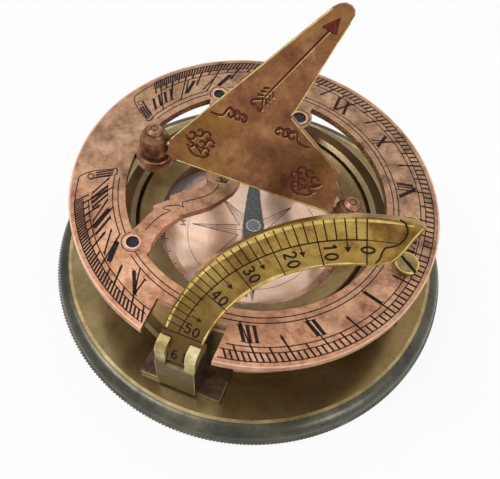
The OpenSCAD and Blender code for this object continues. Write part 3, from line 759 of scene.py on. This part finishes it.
# Numerals as they are cut, by the hours after noon: each stroke leans with its hour line. A
# stroke is the angle and radius of its inner end, the same of its outer end, and its width.
# The notch takes the place of the numeral for 4.
NUMERAL_STROKES = {
    0: [(0.4, 40.1, 3.3, 44.8, 0.95), (3.7, 40.1, 0.3, 44.8, 0.42), (-1.1, 40.1, -1.0, 44.8, 0.9),
        (-3.2, 40.1, -2.9, 44.8, 0.9)],
    1: [(-26.3, 39.9, -25.0, 44.9, 0.95)],
    2: [(-51.6, 39.9, -49.6, 44.3, 0.95), (-49.3, 40.0, -47.6, 44.4, 0.95)],
    3: [(-75.6, 40.0, -73.4, 44.3, 0.87), (-72.9, 40.0, -71.3, 44.4, 0.87),
        (-70.5, 40.0, -69.2, 44.3, 0.87)],
    5: [(-118.5, 40.9, -111.5, 44.7, 0.95), (-113.3, 40.3, -111.5, 44.8, 0.45)],
    6: [(-137.4, 40.9, -129.3, 44.8, 0.45), (-132.0, 40.6, -126.0, 44.7, 1.4)],
    7: [(-150.9, 40.5, -142.5, 44.8, 0.45), (-146.5, 40.3, -140.0, 45.0, 1.3),
        (-143.0, 40.3, -137.2, 45.0, 0.7)],
    8: [(-160.8, 40.6, -154.0, 44.4, 0.45), (-157.2, 40.6, -151.7, 44.6, 0.75),
        (-155.4, 40.6, -149.9, 44.6, 0.75), (-153.4, 40.5, -147.9, 44.5, 0.6)],
    -1: [(29.2, 40.1, 27.7, 44.4, 0.9), (27.8, 40.1, 26.4, 45.0, 0.42),
         (22.8, 39.9, 26.0, 44.7, 1.1)],
    -2: [(49.0, 40.0, 52.0, 44.5, 0.95), (53.0, 40.0, 48.6, 45.0, 0.42)],
    -3: [(75.4, 40.0, 76.9, 45.0, 0.9), (74.5, 40.0, 71.6, 45.0, 0.42),
         (70.8, 40.0, 73.0, 45.0, 0.9)],
    -4: [(101.0, 40.6, 97.0, 44.5, 0.45), (98.2, 40.6, 94.7, 44.5, 0.9),
         (95.8, 40.6, 92.4, 44.5, 0.9), (93.3, 40.6, 90.1, 44.5, 0.7)],
    -5: [(119.5, 40.6, 114.5, 44.5, 0.45), (116.6, 40.5, 112.6, 44.7, 1.2),
         (113.2, 40.5, 109.6, 44.6, 0.8)],
    -6: [(135.5, 40.3, 128.4, 44.2, 0.45), (128.5, 40.5, 122.3, 44.2, 1.2)],
    -7: [(143.5, 40.8, 139.5, 44.9, 0.45), (142.9, 40.8, 137.3, 44.3, 1.0)],
    -8: [(158.8, 40.7, 156.0, 44.2, 0.8), (156.0, 40.7, 153.2, 44.3, 0.8),
         (153.2, 40.7, 150.4, 44.3, 0.8), (150.4, 40.7, 147.6, 44.4, 0.8)],
}
SERIF_LINES = (0.12, 0.3, 0.12)
SERIF_REACH = 0.5


def make_numerals():
    e = Engraving(on_ring)
    for strokes in NUMERAL_STROKES.values():
        for inner_a, inner_r, outer_a, outer_r, width in strokes:
            e.line([polar(inner_r, inner_a), polar(outer_r, outer_a)], width)
            for radius, a in ((inner_r, inner_a), (outer_r, outer_a)):
                reach = math.degrees((width / 2 + SERIF_REACH) / radius)
                e.line([polar(radius, a + shift) for shift in (-reach, 0.0, reach)], SERIF_LINES)
    e.object("hour_numerals", "ring", "black")


def make_panel_scrolls():
    """The bare panel at the south is closed at both ends by a hatched bar with curls."""
    e = Engraving(on_ring)
    for side in (-1, 1):

        def at(a, radius):
            return polar(radius, side * a)

        for shift in (-1.1, 0.0, 1.1):
            e.line([at(163.8 + shift, 39.8), at(161.6 + shift, 44.3)], 0.52)
        e.line(smooth([at(161.9, 40.4), at(160.9, 43.2), at(159.5, 45.7)], 3), 0.3)
        e.circle(0.8, 0.3, centre=at(161.0, 45.5), step=20)
        e.line(smooth([at(166.2, 39.6), at(165.2, 38.9), at(163.4, 38.9), at(162.3, 39.4)], 3), 0.34)
        edge = [at(151.0 + i * 1.2, 48.9 - i * 0.05) for i in range(8)]
        edge += [at(160.5, 48.4), at(162.0, 47.0), at(163.3, 45.0), at(164.2, 43.0),
                 at(165.0, 41.0), at(165.8, 39.6)]
        e.line(smooth(edge, 3), 0.28)
    e.object("panel_scrolls", "ring", "black")


# Bridges: the engraved leaf line that follows the south bridge
SOUTH_LEAF = [(-22.2, -23.9), (-21.4, -20.6), (-20.2, -17.8), (-18.9, -15.8), (-21.0, -16.2),
              (-20.4, -15.0), (-19.2, -14.2), (-17.8, -13.4), (-16.3, -13.4), (-17.2, -12.2),
              (-15.6, -10.6), (-12.6, -7.8), (-10.9, -5.0), (-10.7, -2.4)]


def make_bridge_lines():
    e = Engraving(on_ring)
    for side in (1, -1):
        e.line(smooth([(x, y * side) for x, y in SOUTH_LEAF], 3), 0.28)
    for y in (-1.5, -0.5, 0.5, 1.5):
        e.line([(-12.0, y), (-9.0, y * 0.8)], 0.34)
    e.circle(1.1, 0.3, centre=(-10.0, 0), step=20)
    e.object("bridge_lines", "ring", "black")


# Painted highlights: bright strips along edges, for the light that the edges catch
def make_ring_edge_highlight():
    # Painted highlight along the ring's outer edge.
    e = Engraving(on_ring, HIGHLIGHT_LIFT)
    ring_circle(e, RING_R - 0.22, 0.36, -180.0, 180.0)
    e.object("ring_edge_highlight_strip", "ring", "highlight_copper")


def make_arc_edge_highlights():
    """Painted highlights along the arc's edges and tip. The strips vary in width and are widest half
    way.
    """
    e = Engraving(on_arc, HIGHLIGHT_LIFT)
    steps = [i / 60 for i in range(61)]
    for radius, width, start, end in ((ARC_R - 0.75, 0.65, 7.5, 82.0),
                                      (ARC_INNER_R + 0.45, 0.4, 7.5, 72.0)):
        widths = [width * (0.7 + 0.3 * math.sin(37 * t) + math.sin(math.pi * t) ** 4)
                  for t in steps]
        e.line([arc_polar(radius, start + (end - start) * t) for t in steps], widths)
    tip = [arc_polar(ARC_R - r, ARC_END - a)
           for r, a in ((0.8, 0.6), (3.1, 1.8), (5.9, 3.2), (8.2, 4.8), (9.5, 6.2), (10.1, 8.2))]
    e.line(tip, 0.3)
    e.object("arc_edge_highlight_strips", "arc", "highlight_brass")


def make_gnomon_edge_highlights():
    # Painted highlights along the gnomon's edges.
    e = Engraving(on_gnomon, HIGHLIGHT_LIFT)
    e.line([(2.9, 19.3), (3.4, 20.4), (9.5, 44.4)], 0.22)
    e.line([(19.6, -1.9), (2.0, -2.6), (-23.4, -3.3)], 0.24)
    e.line([(-26.2, 1.9), (-25.2, 3.6), (4.4, 46.2)], 0.3)
    e.line([(17.5, 9.8), (3.0, 18.5)], 0.24)
    e.object("gnomon_edge_highlight_strips", "gnomon", "highlight_brass")


def make_plate_edge_highlights():
    # Painted highlights along the plate's front and right edges.
    e = Engraving(level_plane(PLATE_TOP), HIGHLIGHT_LIFT)
    left = PLATE_X - PLATE_HALF + 0.2
    right = PLATE_X + PLATE_HALF - 0.2
    front = PLATE_FRONT + 0.2
    e.line([(left, front), (right, front)], 0.32)
    e.line([(right, front), (right, PLATE_FRONT + 6.0)], 0.28)
    e.object("plate_edge_highlight_strips", "base", "highlight_rim_brass")


def make_clevis_edge_highlights():
    # Painted highlights down both sides of the clevis's front.
    e = Engraving(on_clevis, HIGHLIGHT_LIFT)
    for side in (-1, 1):
        edge_x = NOTCH_X + side * (CLEVIS_HALF - 0.15)
        e.line([(edge_x, PLATE_TOP + 0.2), (edge_x, CLEVIS_STEP_Z - 0.1)], 0.26)
    e.object("clevis_edge_highlight_strips", "base", "highlight_rim_brass")


def make_base_edge_highlight():
    # Painted highlight round the edge of the base's flat top.
    e = Engraving(level_plane(BASE_H), HIGHLIGHT_LIFT)
    e.circle(FLAT_TOP_R - 0.5, 0.9)
    e.object("base_edge_highlight_strip", "base", "highlight_rim_brass")


def make_cap_edge_highlight():
    # Painted highlight round the edge of the needle cap's top.
    e = Engraving(level_plane(CAP_TOP), HIGHLIGHT_LIFT)
    e.circle(CAP_R - 0.2, 0.26, step=10)
    e.object("cap_edge_highlight_strip", "needle", "highlight_brass")


def make_dome_rings():
    """A small turned ring on the top of each post, and a wider faint one."""
    for name, post_x in zip(("south", "north"), POST_PLACES):
        e = Engraving(on_dome(post_x))
        e.circle(0.9, 0.22, step=15)
        e.circle(2.4, 0.14, step=10)
        e.object(name + "_post_rings", "ring", "cut")


def make_screw_slots():
    """Painted shade on the floor of each ring screw's slot, and a painted highlight on the rim on
    both sides of it.
    """
    e = Engraving(ring_level(SCREW_SLOT_H))
    for place in RING_SCREWS:
        ends = [polar(side * (RING_SCREW_R - 0.1), SCREW_SLOT_TURN, place) for side in (-1, 1)]
        e.line(ends, SCREW_SLOT_W - 0.04)
    e.object("screw_slot_shade", "ring", "black")
    rims = Engraving(ring_level(SCREW_HEAD_H), HIGHLIGHT_LIFT)
    for place in RING_SCREWS:
        for side in (0, 180):
            start = SCREW_SLOT_TURN + side
            rims.circle(RING_SCREW_R - 0.3, 0.34, start + 12, start + 168, place, 8)
    rims.object("screw_rim_highlights", "ring", "highlight_brass")


# Latitude arc: ticks every two degrees outside a dividing line, and numbers inside it with an
# arrow mark between them. Angles are measured at the ring's hinge.
SCALE_ZERO = 72.1
SCALE_STEP = 1.2
SCALE_FOOT = 7.3
DIVIDING_R = 48.8
MARK_DEGREES = (4, 14, 24, 34, 47.5)
MARK_STEM_R = 46.9
MARK_HEAD_R = 47.2
MARK_TIP_R = 45.9
# Text, radius and angle of each number's middle
ARC_NUMBERS = (("10", 46.2, 62.8), ("20", 46.0, 51.9), ("30", 46.3, 39.2),
               ("40", 46.3, 26.1), ("50", 47.0, 10.5), ("0", 46.6, 72.4))
# Strokes of each digit in a box that is 1 wide and 1 high
DIGITS = {
    "0": [[(0.5, 1), (0.2, 0.85), (0.05, 0.5), (0.2, 0.15), (0.5, 0), (0.8, 0.15), (0.95, 0.5),
           (0.8, 0.85), (0.5, 1)]],
    "1": [[(0.2, 0.75), (0.55, 1), (0.55, 0)]],
    "2": [[(0.1, 0.75), (0.25, 0.95), (0.55, 1), (0.85, 0.85), (0.85, 0.6), (0.1, 0.02)],
          [(0.1, 0.02), (0.95, 0.02)]],
    "3": [[(0.1, 0.9), (0.4, 1), (0.8, 0.88), (0.8, 0.65), (0.45, 0.53)],
          [(0.45, 0.53), (0.85, 0.42), (0.9, 0.18), (0.5, 0), (0.08, 0.12)]],
    "4": [[(0.7, 0), (0.7, 1), (0.02, 0.32)], [(0.02, 0.3), (1, 0.3)]],
    "5": [[(0.85, 1), (0.2, 1), (0.12, 0.55)],
          [(0.12, 0.55), (0.5, 0.65), (0.88, 0.45), (0.85, 0.15), (0.5, 0), (0.08, 0.1)]],
    "6": [[(0.8, 0.92), (0.45, 0.98), (0.12, 0.6), (0.12, 0.25), (0.5, 0), (0.88, 0.25),
           (0.8, 0.5), (0.45, 0.58), (0.14, 0.35)]],
}
DIGIT_W = 1.5
DIGIT_H = 2.75
DIGIT_GAP = 0.65
DIGIT_LINE = 0.5


def arc_polar(radius, degrees):
    x, y = polar(radius, degrees)
    return (HINGE_X - x, y)


def write_digits(e, text, centre, right, up):
    total = len(text) * DIGIT_W + (len(text) - 1) * DIGIT_GAP
    for i, character in enumerate(text):
        left = -total / 2 + i * (DIGIT_W + DIGIT_GAP)
        for stroke in DIGITS[character]:
            points = []
            for u, v in smooth(stroke, 3):
                x = left + u * DIGIT_W
                y = (v - 0.5) * DIGIT_H
                points.append((centre[0] + right[0] * x + up[0] * y,
                               centre[1] + right[1] * x + up[1] * y))
            e.line(points, DIGIT_LINE)


def make_arc_scale():
    """Ticks, marks, dividing line and numbers, then the tip's lines and the tang's with a digit."""
    e = Engraving(on_arc)
    for degree in range(0, 55, 2):
        a = SCALE_ZERO - SCALE_STEP * degree
        if a < SCALE_FOOT:
            break
        inner = ARC_INNER_R + 0.2 if degree % 10 == 0 and degree < 50 else DIVIDING_R
        e.line([arc_polar(ARC_R - 0.3, a), arc_polar(inner, a)], 0.3)
    for degree in MARK_DEGREES:
        a = SCALE_ZERO - SCALE_STEP * degree
        e.line([arc_polar(DIVIDING_R, a), arc_polar(MARK_STEM_R, a)], 0.26)
        e.add_outline([arc_polar(MARK_HEAD_R, a + 0.9), arc_polar(MARK_TIP_R, a),
                       arc_polar(MARK_HEAD_R, a - 0.9)])
    steps = [i / 40 for i in range(41)]
    e.line([arc_polar(DIVIDING_R + (1 - t) ** 3, SCALE_FOOT + (SCALE_ZERO - SCALE_FOOT) * t)
            for t in steps], 0.34)
    for text, radius, a in ARC_NUMBERS:
        c, s = polar(1, a)
        write_digits(e, text, arc_polar(radius, a), (c, -s), (s, c))
    curl_points = [(36.3, 53.0), (37.6, 52.6), (38.5, 51.2), (38.6, 49.6), (37.8, 47.8),
                   (36.4, 46.6), (35.6, 46.0), (35.4, 44.4), (35.4, 43.4), (34.9, 42.1)]
    e.line(smooth(curl_points, 4), 0.4)
    e.line([(37.6, 48.0), (34.5, 47.2), (31.2, 46.4)], 0.2)
    e.line([(-7.0, 6.25), (3.6, 6.25)], 0.34)
    write_digits(e, "6", (-2.5, -0.3), (1, 0), (0, 1))
    e.line([(0.05, 1.2), (0.05, -1.9)], 0.55)
    e.object("arc_scale", "arc", "black")


# Gnomon: a long arrow up the pointer, with scrolls and corner curls
GNOMON_MIDDLE = -3.75


def scroll(side):
    """One of the two scrolls across the gnomon: a wave with a row of curls inside it."""
    def at(x, y):
        return (GNOMON_MIDDLE + side * x, y)

    wave = [at(13.7, 12.9), at(11.6, 12.8), at(10.3, 13.4), at(9.7, 14.8), at(8.9, 15.8),
            at(7.9, 15.2), at(6.9, 15.7), at(6.0, 15.0), at(5.0, 15.3), at(4.0, 14.6)]
    lines = [smooth(wave, 4)]
    for x, y, r, turn in ((8.5, 14.1, 1.2, 320), (6.4, 14.0, 1.0, -330), (4.7, 13.9, 0.9, 320)):
        lines.append([at(*p) for p in curl((x, y), r, 70, turn)])
    return lines


def corner_cluster(centre, side):
    """The curls in a lower corner: seven small ones and two long tails."""
    def at(x, y):
        return (centre[0] + side * x, centre[1] + y)

    lines = []
    for x, y, r, turn in ((-2.6, 1.6, 1.6, 340), (-0.6, 3.0, 1.5, 330), (1.8, 2.6, 1.5, -330),
                          (3.2, 0.8, 1.4, -320), (0.6, 0.2, 1.5, 340), (-2.2, -0.9, 1.1, 320),
                          (2.4, -1.6, 1.2, -330)):
        lines.append([at(*p) for p in curl((x, y), r, 200, turn)])
    lines.append(smooth([at(-2.6, -2.2), at(-1.2, -3.4), at(0.8, -3.6), at(2.6, -3.0),
                         at(3.4, -1.8)], 4))
    lines.append(smooth([at(-3.6, 0.2), at(-1.6, -0.8), at(0.4, -1.8), at(1.2, -2.8)], 4))
    return lines


ARROW_FOOT = (-5.0, 21.3)
ARROW_TIP = (5.4, 41.6)


def arrow_lines():
    """The feathers at the arrow's foot: barbs swept back on both sides, and two end curls."""
    length = math.dist(ARROW_FOOT, ARROW_TIP)
    ux = (ARROW_TIP[0] - ARROW_FOOT[0]) / length
    uy = (ARROW_TIP[1] - ARROW_FOOT[1]) / length

    def at(along, aside):
        return (ARROW_FOOT[0] + ux * along + uy * aside, ARROW_FOOT[1] + uy * along - ux * aside)

    lines = []
    for along in (0.2, 1.4, 2.6):
        for side in (-1, 1):
            lines.append([at(along, side * 0.5), at(along - 1.1, side * 1.7)])
    for side in (-1, 1):
        points = [(-0.3, 0.0), (-1.3, 0.5), (-2.4, 1.5), (-3.3, 1.6), (-3.5, 0.8), (-2.9, 0.6)]
        lines.append(smooth([at(along, side * aside) for along, aside in points], 3))
    return lines


def make_gnomon_engraving():
    """Each curl is a wide dark cut with a red-brown floor and a painted highlight along its edge."""
    head = [(6.8, 44.6), (3.5, 41.5), (5.0, 41.3), (7.1, 40.9)]
    curls = scroll(-1) + scroll(1) + arrow_lines()
    curls += corner_cluster((-18.4, 3.6), 1) + corner_cluster((11.6, 3.6), -1)
    dark = Engraving(on_gnomon)
    dark.line([ARROW_TIP, ARROW_FOOT], 0.42)
    dark.line(head + head[:1], 0.4)
    for line in curls:
        dark.line(line, 0.68)
    dark.object("gnomon_cuts", "gnomon", "cut")
    red = Engraving(on_gnomon_cut)
    red.add_outline(head)
    for line in curls:
        red.line(line, 0.28)
    red.object("gnomon_cut_floors", "gnomon", "red")
    # Painted highlights beside the cuts and the arrow's shaft.
    glint = Engraving(on_gnomon)
    for line in curls:
        glint.line([(x + 0.34, y - 0.3) for x, y in line[:len(line) // 2 + 1]], 0.14)
    glint.line([(ARROW_TIP[0] + 0.35, ARROW_TIP[1] - 0.4),
                (ARROW_FOOT[0] + 0.35, ARROW_FOOT[1] - 0.2)], 0.14)
    glint.object("gnomon_cut_highlights", "gnomon", "highlight_brass")


# Compass card: a rose of thin lines, and the degree ring's ticks
ROSE_TURN = 14.4


def make_rose():
    """Eight points, a circle round them and a small mark at each quarter."""
    e = Engraving(level_plane(DIAL_TOP))
    for i in range(8):
        a = ROSE_TURN + 45 * i
        tip_r = 18.5 if i % 2 == 0 else 15.3
        tip = polar(tip_r, a)
        for turn in (-22.5, 22.5):
            e.line([tip, polar(4.6, a + turn)], 0.28)
        e.line([tip, (0.0, 0.0)], 0.2)
        for k in (-6, 6):
            e.line([polar(tip_r * 0.75, a + k * 0.3), polar(5, a + k * 1.6)], 0.12)
    e.circle(19.6, 0.16)
    for i in range(4):
        a = ROSE_TURN + 90 * i
        for side in (-2, 2):
            e.line([polar(20.4, a + side), polar(22.2, a + side)], 0.5)
        e.line([polar(22.0, a - 2), polar(20.6, a + 2)], 0.4)
    e.object("compass_rose", "base", "brown")


def make_degree_ticks():
    e = Engraving(level_plane(DEGREE_TOP))
    outer = DEGREE_OUTER_R - 0.6
    for degree in range(0, 360, 2):
        inner = DEGREE_INNER_R + (1.0 if degree % 10 == 0 else 1.9)
        e.line([polar(outer, degree), polar(inner, degree)], 0.26)
    e.circle(outer, 0.2)
    e.circle(DEGREE_INNER_R + 2.2, 0.18)
    e.object("degree_ticks", "base", "brown")


# Camera, floor, world and lamps
CAMERA_PLACE = Vector((29.139, -100.297, 173.937)) * MM
CAMERA_FORWARD = Vector((-0.15232, 0.51296, -0.84479)).normalized()
CAMERA_RIGHT = Vector((0.92999, 0.36372, 0.05317)).normalized()
FOCAL_PIXELS = 633.76
PICTURE_WIDTH = 500
SENSOR_MM = 36


def make_camera():
    data = bpy.data.cameras.new("camera")
    data.sensor_fit = "HORIZONTAL"
    data.sensor_width = SENSOR_MM
    data.lens = FOCAL_PIXELS / PICTURE_WIDTH * SENSOR_MM
    data.clip_start = 0.01
    data.clip_end = 20
    camera = add_object("camera", data)
    back = -CAMERA_FORWARD
    up = back.cross(CAMERA_RIGHT).normalized()
    right = up.cross(back).normalized()
    turn = Matrix((right, up, back)).transposed().to_4x4()
    camera.matrix_world = Matrix.Translation(CAMERA_PLACE) @ turn
    bpy.context.scene.camera = camera


def seen_rays(tree):
    """1 for rays of the camera and for those reflected or let through, 0 for other light."""
    rays = tree.nodes.new("ShaderNodeLightPath")
    value = rays.outputs["Is Camera Ray"]
    for name in ("Is Glossy Ray", "Is Transmission Ray"):
        larger = tree.nodes.new("ShaderNodeMath")
        larger.operation = "MAXIMUM"
        tree.links.new(value, larger.inputs[0])
        tree.links.new(rays.outputs[name], larger.inputs[1])
        value = larger.outputs["Value"]
    return value


def white_where_seen(tree, shader, share):
    """Mixes this share of plain white over the shader, for the rays that see it and no others."""
    white = tree.nodes.new("ShaderNodeEmission")
    white.inputs["Color"].default_value = (1, 1, 1, 1)
    part = tree.nodes.new("ShaderNodeMath")
    part.operation = "MULTIPLY"
    tree.links.new(seen_rays(tree), part.inputs[0])
    part.inputs[1].default_value = share
    return mix_shaders(tree, part.outputs[0], shader, white.outputs["Emission"])


# The floor in metres, and how much of it is plain white. The rest keeps the object's shadow.
FLOOR_HALF = 1.6
FLOOR_DROP = 0.0002
FLOOR_WHITE = 0.9


def make_floor():
    mesh = bpy.data.meshes.new("floor")
    corners = [(x * FLOOR_HALF, y * FLOOR_HALF, 0) for x, y in ((-1, -1), (1, -1), (1, 1), (-1, 1))]
    mesh.from_pydata(corners, [], [[0, 1, 2, 3]])
    floor = add_object("floor", mesh)
    floor.location.z = -FLOOR_DROP
    material = bpy.data.materials.new("floor_white")
    material.use_nodes = True
    tree = material.node_tree
    tree.nodes.clear()
    output = tree.nodes.new("ShaderNodeOutputMaterial")
    paint = tree.nodes.new("ShaderNodeBsdfDiffuse")
    paint.inputs["Color"].default_value = (0.86, 0.86, 0.86, 1)
    seen = white_where_seen(tree, paint.outputs["BSDF"], FLOOR_WHITE)
    tree.links.new(seen, output.inputs["Surface"])
    mesh.materials.append(material)


# The side that the sky's light comes from, and its brightness from the far side round to there
SKY_SIDE = Vector((-0.2, 0.72, 0.66))
SKY_STOPS = [(0.0, 0.08), (0.45, 0.12), (0.62, 0.34), (0.8, 0.66), (0.93, 1.0), (1.0, 1.05)]


def make_world():
    """Plain white to the rays that see it, and a soft light from above and behind to the rest."""
    world = bpy.data.worlds.new("studio")
    bpy.context.scene.world = world
    world.use_nodes = True
    tree = world.node_tree
    tree.nodes.clear()
    output = tree.nodes.new("ShaderNodeOutputWorld")
    coords = tree.nodes.new("ShaderNodeTexCoord")
    toward = tree.nodes.new("ShaderNodeVectorMath")
    toward.operation = "DOT_PRODUCT"
    toward.inputs[1].default_value = SKY_SIDE.normalized()
    share = tree.nodes.new("ShaderNodeMapRange")
    share.inputs["From Min"].default_value = -1.0
    ramp = tree.nodes.new("ShaderNodeValToRGB")
    room = tree.nodes.new("ShaderNodeBackground")
    white = tree.nodes.new("ShaderNodeBackground")
    fill_ramp(ramp, [(position, (value, value, value)) for position, value in SKY_STOPS])
    tree.links.new(coords.outputs["Generated"], toward.inputs[0])
    tree.links.new(toward.outputs["Value"], share.inputs["Value"])
    tree.links.new(share.outputs["Result"], ramp.inputs["Fac"])
    tree.links.new(ramp.outputs["Color"], room.inputs["Color"])
    white.inputs["Color"].default_value = (1, 1, 1, 1)
    seen = mix_shaders(tree, seen_rays(tree), room.outputs["Background"],
                       white.outputs["Background"])
    tree.links.new(seen, output.inputs["Surface"])


LAMP_AIM = Vector((0, 0, 0.02))


def add_lamp(name, place, size, watts):
    data = bpy.data.lights.new(name, "AREA")
    data.shape = "RECTANGLE"
    data.size = size[0]
    data.size_y = size[1]
    data.energy = watts
    lamp = add_object(name, data)
    lamp.location = place
    lamp.rotation_euler = (LAMP_AIM - Vector(place)).to_track_quat("-Z", "Y").to_euler()


def make_lamps():
    add_lamp("key_softbox", (-0.35, -0.15, 0.75), (0.35, 0.35), 3.0)
    add_lamp("side_softbox", (0.7, -0.35, 0.45), (0.3, 0.4), 1.5)


def main():
    dress_nodes()
    make_base()
    make_hour_scale()
    make_inner_lines()
    make_sinks()
    make_numerals()
    make_panel_scrolls()
    make_bridge_lines()
    make_ring_edge_highlight()
    make_arc_edge_highlights()
    make_gnomon_edge_highlights()
    make_plate_edge_highlights()
    make_clevis_edge_highlights()
    make_base_edge_highlight()
    make_cap_edge_highlight()
    make_dome_rings()
    make_screw_slots()
    make_arc_scale()
    make_gnomon_engraving()
    make_rose()
    make_degree_ticks()
    make_floor()
    make_world()
    make_lamps()
    make_camera()
    bpy.context.scene.view_settings.view_transform = "Standard"


main()
